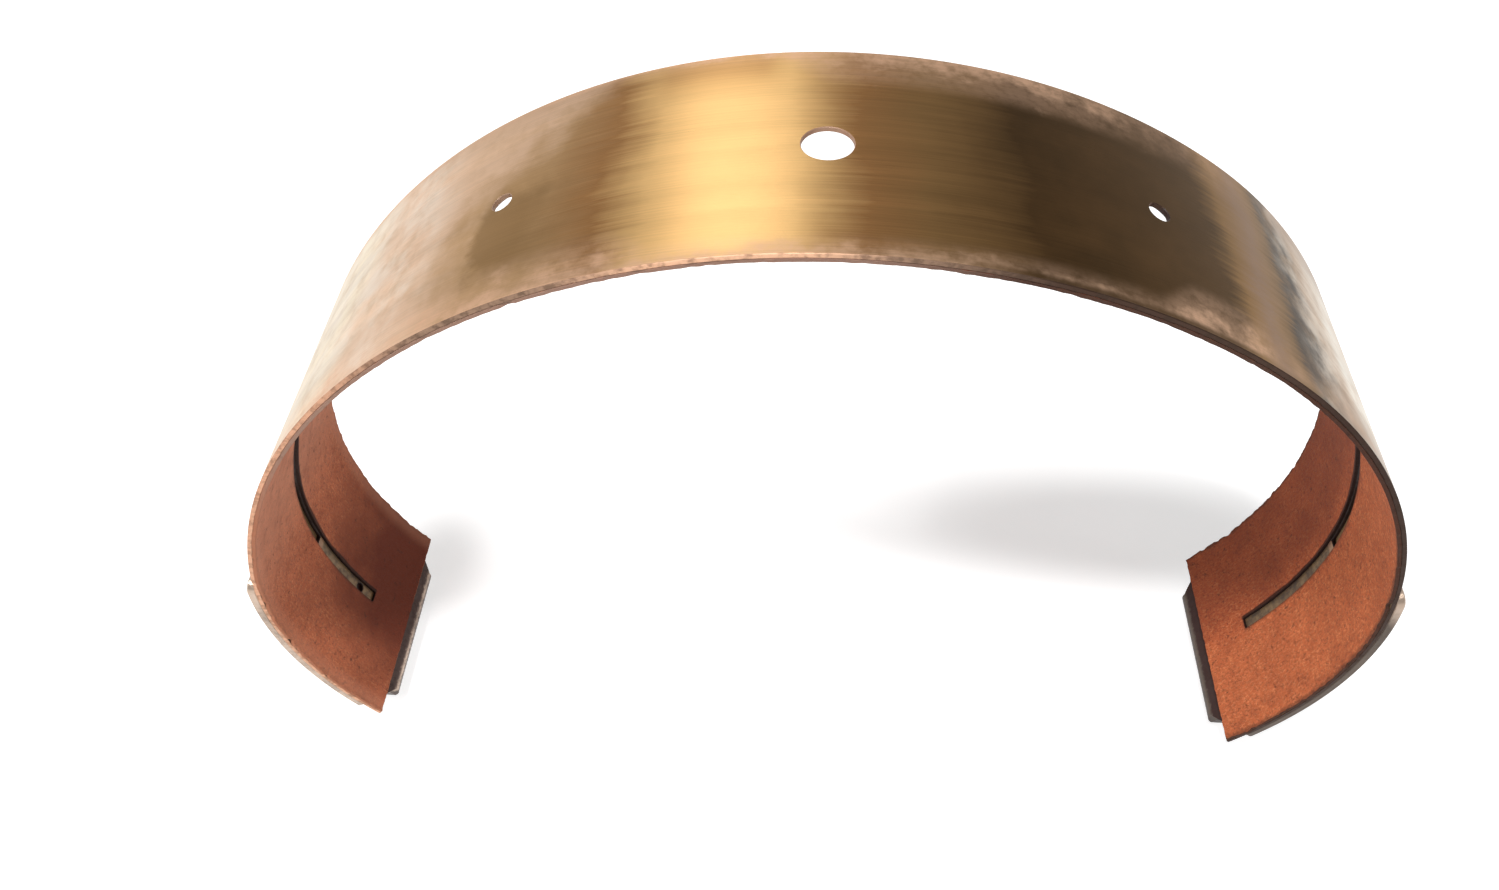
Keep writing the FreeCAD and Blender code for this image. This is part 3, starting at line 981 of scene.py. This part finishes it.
def faces_drum(plate):
    """Mask of the faces that look in towards the drum."""
    where = plate.node("ShaderNodeTexCoord").outputs
    middle = (0.0, 0.0, plate.line.centre_height)
    outward = plate.vector_math("SUBTRACT", where["Object"], middle)
    return plate.band(plate.vector_math("DOT_PRODUCT", outward, where["Normal"]), -0.02, -0.05)


# Welds stand this far off the middle, in rows at places given with each bracket
WELD_ASIDE = 14.0
BRACKET_RADIUS = 117.0


def weld_rings(plate, rows):
    """Mask of the heat tint round each spot weld, two of them in each of the given rows."""
    beside = plate.minus(plate.rim, WELD_ASIDE)
    rings = 0.0
    for row in rows:
        ahead = plate.minus(plate.around, plate.at(row))
        ahead = plate.times(ahead, 2 * math.pi * BRACKET_RADIUS)
        away = plate.vector_math("LENGTH", plate.vector(ahead, beside, 0.0))
        ring = plate.times(plate.band(away, 2.0, 3.2), plate.band(away, 3.6, 5.6, *FADING))
        rings = plate.most(rings, ring)
    return rings


def bracket_material(name, line, finish, foot, along, reach, rows, clean, cover):
    """Bracket plate: worn steel with brown oxide, dark varnish beside the strap's end, and painted
    shade on the lip past its bend and in the weld hole.

    Foot and along are where it bends out and the way it runs there. Reach is its length in
    millimetres, rows are its rows of welds, and clean is the finish that the oxide covers.
    """
    plate = Surface(name, line)
    lines = plate.lines(9.0, 0.35)["Lines"]
    small = plate.mottle(1.1, 0.4, 0.1)
    cloud = plate.mottle(7.0, cover, 0.28)
    oxide = plate.math("MULTIPLY", plate.scaled(small, 0.3, cloud), 0.7, clamp=True)
    plate.base = plate.over(getattr(finish, clean), finish.oxide, oxide)
    plate.lay(finish.heat_blue, weld_rings(plate, rows), 0.35)
    where = plate.node("ShaderNodeTexCoord").outputs["Object"]
    ahead = plate.vector_math("DOT_PRODUCT", plate.vector_math("SUBTRACT", where, foot), along)
    past = plate.scaled(small, 0.5, plate.times(ahead, 1 / MM))
    # Painted shade: the lip past the bend is darkened, turned away from the light
    plate.lay(finish.lip_shade, plate.band(past, 1.2, 2.4), 0.9)
    rubbed = plate.band(past, 13.0 - reach, 7.0 - reach, 0.0, 0.8)
    plate.lay(finish.bracket, rubbed)
    oxide = plate.times(oxide, plate.minus(1.0, rubbed))
    varnish = plate.times(plate.band(past, -3.2, -2.4), plate.band(past, 0.3, 1.4, *FADING))
    plate.lay(finish.maroon, varnish, 0.9)
    plate.shade(plate.unit(lines, 0.85, 1.1, smooth=False))
    # Painted shade: the plate seen through the weld hole goes near black; through the slot it
    # shows the strap's inner steel
    in_slot = plate.times(plate.band(past, -3.0, -4.0), plate.band(plate.rim, 1.5, 1.4),
                          faces_drum(plate))
    bottom = plate.over(finish.recess_shade, finish.inside_steel, plate.band(past, -27.0, -29.0))
    plate.lay(bottom, in_slot)
    metal = plate.scaled(varnish, -0.9, plate.scaled(oxide, -0.8, 1.0))
    plate.set(Metallic=plate.scaled(in_slot, -0.6, metal, clamp=True),
              Roughness=plate.scaled(varnish, 0.3, plate.scaled(oxide, 0.3, 0.34)))
    plate.bump(plate.plus(lines, small), 0.25, 0.08)
    return plate.made


# Where the seen floor glows less, a painted soft shadow that also lets the real shadow show, in
# metres: centre, stretch, inner and outer reach
FLOOR_SHADOWS = (
    ((0.084, 0.043), (1.0, 3.2), 0.030, 0.090),
    ((-0.104, 0.027), (1.2, 1.0), 0.003, 0.023),
)
SEEN_FLOOR = (0.62, 0.62, 0.62, 1.0)
SHADOW_GLOW = 0.42


def floor_material(settings):
    """Matt white floor that glows white where it is seen, with less glow in painted shadow patches
    near the band, where its real shadow also shows.
    """
    floor = Surface("studio_floor")
    path = floor.node("ShaderNodeLightPath").outputs
    seen = floor.most(path["Is Camera Ray"], path["Is Transmission Ray"])
    seen = floor.most(seen, path["Is Glossy Ray"])
    where = floor.node("ShaderNodeTexCoord").outputs["Object"]
    # Painted shadow: the seen glow is lowered in soft patches near the band
    dip = 0.0
    for centre, stretch, near, far in FLOOR_SHADOWS:
        away = floor.vector_math("SUBTRACT", where, (*centre, 0.0))
        away = floor.vector_math("MULTIPLY", away, (*stretch, 1.0))
        reach = floor.vector_math("LENGTH", away)
        dip = floor.most(dip, floor.band(reach, near, far, *FADING))
    glow = floor.scaled(dip, -settings.floor_glow, SHADOW_GLOW + settings.floor_glow)
    floor.base = floor.over(settings.floor, SEEN_FLOOR, seen)
    floor.set(Roughness=0.9, Specular_IOR_Level=0.1, Emission_Color=WHITE,
              Emission_Strength=floor.times(seen, glow))
    return floor.made


# Operators, one for each piece and one for the studio

def ready_line():
    """The band's line as it is set, with the shader groups that stand on it."""
    line = BandLine(bpy.context.scene.band_line)
    if "Band Place" not in bpy.data.node_groups:
        build_band_place(line.centre_height)
        build_rolled_lines()
        build_mottle()
        build_rim_wear()
    return line


def round_holes(strap, wider=0.0):
    """The crown hole and the two oil holes."""
    return [
        RoundHole(0.0, strap.crown_hole + wider),
        RoundHole(-strap.oil_hole_arc, strap.oil_hole + wider),
        RoundHole(strap.oil_hole_arc, strap.oil_hole + wider),
    ]


def dress(piece, *materials):
    slots = piece.data.materials
    for number, material in enumerate(materials):
        if number < len(slots):
            slots[number] = material
        else:
            slots.append(material)


# Spacing of the points along and across the meshes, and along their rims
STRAP_PITCH = (1.0 * MM, 2.0 * MM)
STRAP_STEP = 1.0 * MM
LINING_PITCH = (0.9 * MM, 0.9 * MM)
LINING_STEP = 0.7 * MM

# The lining's groove wanders a little, and its face is rough in small and wide waves
GROOVE_RAG = 0.05 * MM
ROUGH_WAVE = 1.1 * MM
WIDE_WAVE = 7.0 * MM


def lining_relief(arc, across, side):
    """Rise of the lining's face off the flat. Its bonded side stays flat."""
    if side > 0:
        return 0.0
    rough = noise.noise(Vector((arc, across, 0.0)) / ROUGH_WAVE)
    wide = noise.noise(Vector((arc, across, 9.0)) / WIDE_WAVE)
    return (0.018 * rough + 0.02 * wide + 0.03) * MM


class BuildStrap(bpy.types.Operator):
    """Roll the steel strap, with its holes and slots, and give it its temper colours with painted
    reflections and highlight
    """

    bl_idname = "brake_band.strap"
    bl_label = "Steel Strap"

    def execute(self, context):
        line = ready_line()
        sizes = context.scene.band_strap
        finish = context.scene.band_finish
        left_slot = sizes.left_slot_end - line.left_end
        right_slot = line.right_end - sizes.right_slot_end
        holes = [
            *round_holes(sizes),
            RoundHole(sizes.weld_hole_end - line.left_end, sizes.weld_hole),
            LongHole(left_slot, left_slot + sizes.slot_length, sizes.slot_width),
            LongHole(right_slot - sizes.slot_length, right_slot, sizes.slot_width),
        ]
        outline = Outline(-line.left_end, line.right_end, sizes.width, STRAP_STEP)
        strap = rolled_sheet("strap_rolled", line, outline, holes, -sizes.thickness, 0.0,
                             sizes.edge_break, STRAP_PITCH)
        dress(strap, strap_face_material(line, finish), strap_inside_material(line, finish),
              cut_edge_material(line, finish))
        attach(strap, "root")
        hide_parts("steel_strap")
        return {"FINISHED"}


class BuildLining(bpy.types.Operator):
    """Cut and roll the friction lining, with its oil groove and ragged rims"""

    bl_idname = "brake_band.lining"
    bl_label = "Friction Lining"

    def execute(self, context):
        line = ready_line()
        strap = context.scene.band_strap
        sizes = context.scene.band_lining
        finish = context.scene.band_finish
        bulges = round_holes(strap, 2 * sizes.hole_margin)
        groove = LongHole(sizes.groove_end - line.left_end, line.right_end - sizes.groove_end,
                          sizes.groove_width, GROOVE_RAG, bulges)
        outline = Outline(sizes.end_margin - line.left_end, line.right_end - sizes.end_margin,
                          strap.width - 2 * sizes.side_margin, LINING_STEP, sizes.rag)
        high = -strap.thickness
        lining = rolled_sheet("lining_rolled", line, outline, [groove], high - sizes.thickness,
                              high, sizes.edge_break, LINING_PITCH, lining_relief)
        face = lining_material(line, finish, outline, groove, is_edge=False)
        edge = lining_material(line, finish, outline, groove, is_edge=True)
        dress(lining, face, face, edge)
        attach(lining, "root")
        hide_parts("friction_lining")
        return {"FINISHED"}


# How far past the strap's end each bracket bends out
BEND_PAST = 2.2 * MM

# CAD node, side, length along the strap, rows of welds, plate's finish and cover of its oxide
BRACKETS = (
    ("apply_bracket", LEFT, 58.0, (-172.2, -189.7, -207.2), "bracket", 0.3),
    ("anchor_bracket", RIGHT, 66.5, (163.1, 184.85, 206.6), "dull_plate", 0.8),
)


class DressBrackets(bpy.types.Operator):
    """Give the two end brackets their worn steel"""

    bl_idname = "brake_band.brackets"
    bl_label = "End Brackets"

    def execute(self, context):
        line = ready_line()
        finish = context.scene.band_finish
        for node, side, *looks in BRACKETS:
            end = line.left_end if side == LEFT else line.right_end
            x, z, out_x, out_z = line.station(side * (end + BEND_PAST))
            along = (side * out_z, 0.0, -side * out_x)
            dress(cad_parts[node], bracket_material(
                node + "_steel", line, finish, (x, 0.0, z), along, *looks
            ))
        return {"FINISHED"}


def add_lamp(name, place, aim, size, power, tint=(1.0, 1.0, 1.0), roll=0.0):
    lamp = bpy.data.lights.new(name, "AREA")
    lamp.shape = "RECTANGLE"
    lamp.size, lamp.size_y = size
    lamp.energy = power
    lamp.color = tint
    made = bpy.data.objects.new(name, lamp)
    turn = (Vector(aim) - Vector(place)).to_track_quat("-Z", "Y").to_matrix()
    turn = turn @ Matrix.Rotation(roll, 3, "Z")
    made.matrix_world = Matrix.Translation(place) @ turn.to_4x4()
    bpy.context.scene.collection.objects.link(made)


FLOOR_HALF = 4.0
FLOOR_BELOW = 0.2 * MM


class BuildStudio(bpy.types.Operator):
    """Set out the floor, the soft lamps and the camera"""

    bl_idname = "brake_band.studio"
    bl_label = "Studio"

    def execute(self, context):
        settings = context.scene.band_studio
        self.add_floor(settings)
        self.add_lamps(settings)
        self.add_camera(context, settings)
        context.scene.view_settings.view_transform = "Standard"
        return {"FINISHED"}

    def add_floor(self, settings):
        data = bpy.data.meshes.new("studio_floor")
        signs = ((-1, -1), (1, -1), (1, 1), (-1, 1))
        corners = [(x * FLOOR_HALF, y * FLOOR_HALF, 0) for x, y in signs]
        data.from_pydata(corners, [], [(0, 1, 2, 3)])
        floor = bpy.data.objects.new("studio_floor", data)
        floor.location.z = -FLOOR_BELOW
        bpy.context.scene.collection.objects.link(floor)
        dress(floor, floor_material(settings))

    def add_lamps(self, settings):
        self.add_world(settings)
        crown = Vector((0.0, 0.0, 0.16))
        window = crown + 0.75 * Vector((-0.25, 0.755, 0.635))
        add_lamp("back_window", window, crown, (0.26, 0.27), 0.46, (1.0, 0.97, 0.9),
                 math.radians(-38))
        add_lamp("top_front", (-0.11, -0.29, 0.98), (0.0, 0.0, 0.05), (0.13, 0.13), 6.2)
        add_lamp("left_softbox", (-0.85, -0.25, 0.5), (0.0, 0.0, 0.08), (0.6, 0.6), 1.6)

    def add_world(self, settings):
        """Even light from all round, and a paler backdrop near the floor where it is seen."""
        world = bpy.data.worlds.new("studio_world")
        bpy.context.scene.world = world
        world.use_nodes = True
        shading = Shading(world.node_tree)
        background = world.node_tree.nodes["Background"]
        background.inputs[0].default_value = WHITE
        x, y, z = shading.parts(shading.node("ShaderNodeTexCoord").outputs["Generated"])
        in_metal = shading.band(z, 0.12, 0.50, 1.0, settings.seen_sky)
        path = shading.node("ShaderNodeLightPath").outputs
        extra = shading.minus(in_metal, settings.world)
        level = shading.scaled(extra, path["Is Glossy Ray"], settings.world)
        seen = shading.most(path["Is Camera Ray"], path["Is Transmission Ray"])
        shading.feed(background.inputs[1], shading.most(level, seen))

    def add_camera(self, context, settings):
        camera = bpy.data.cameras.new("studio_camera")
        camera.sensor_width = 36.0
        camera.lens = settings.lens
        camera.shift_x, camera.shift_y = settings.shift
        camera.clip_start = 0.01
        camera.clip_end = 20.0
        made = bpy.data.objects.new("studio_camera", camera)
        place = Vector(settings.camera_place)
        aim = Vector(settings.camera_aim)
        turn = (aim - place).to_track_quat("-Z", "Y").to_matrix()
        roll = Matrix.Rotation(settings.camera_roll, 3, "Z")
        made.matrix_world = Matrix.Translation(place) @ (turn @ roll).to_4x4()
        context.scene.collection.objects.link(made)
        context.scene.camera = made


class BandPanel(bpy.types.Panel):
    """Sizes, colours and builders of the brake band"""

    bl_idname = "VIEW3D_PT_brake_band"
    bl_label = "Brake Band"
    bl_space_type = "VIEW_3D"
    bl_region_type = "UI"
    bl_category = "Brake Band"

    def draw(self, context):
        layout = self.layout
        for operator in OPERATORS:
            layout.operator(operator.bl_idname)
        for name, label, settings in SETTINGS:
            box = layout.box()
            box.label(text=label)
            group = getattr(context.scene, name)
            for item in group.bl_rna.properties:
                if item.identifier not in ("rna_type", "name"):
                    box.prop(group, item.identifier)


OPERATORS = (BuildStrap, BuildLining, DressBrackets, BuildStudio)
SETTINGS = (
    ("band_line", "Band Line", BandLineSettings),
    ("band_strap", "Strap", StrapSettings),
    ("band_lining", "Lining", LiningSettings),
    ("band_finish", "Finish", FinishSettings),
    ("band_studio", "Studio", StudioSettings),
)


def register():
    for name, label, settings in SETTINGS:
        bpy.utils.register_class(settings)
        setattr(bpy.types.Scene, name, bpy.props.PointerProperty(type=settings))
    for operator in OPERATORS:
        bpy.utils.register_class(operator)
    bpy.utils.register_class(BandPanel)


def unregister():
    bpy.utils.unregister_class(BandPanel)
    for operator in reversed(OPERATORS):
        bpy.utils.unregister_class(operator)
    for name, label, settings in reversed(SETTINGS):
        delattr(bpy.types.Scene, name)
        bpy.utils.unregister_class(settings)


def main():
    register()
    bpy.ops.brake_band.studio()
    bpy.ops.brake_band.strap()
    bpy.ops.brake_band.lining()
    bpy.ops.brake_band.brackets()


if __name__ == "__main__":
    main()
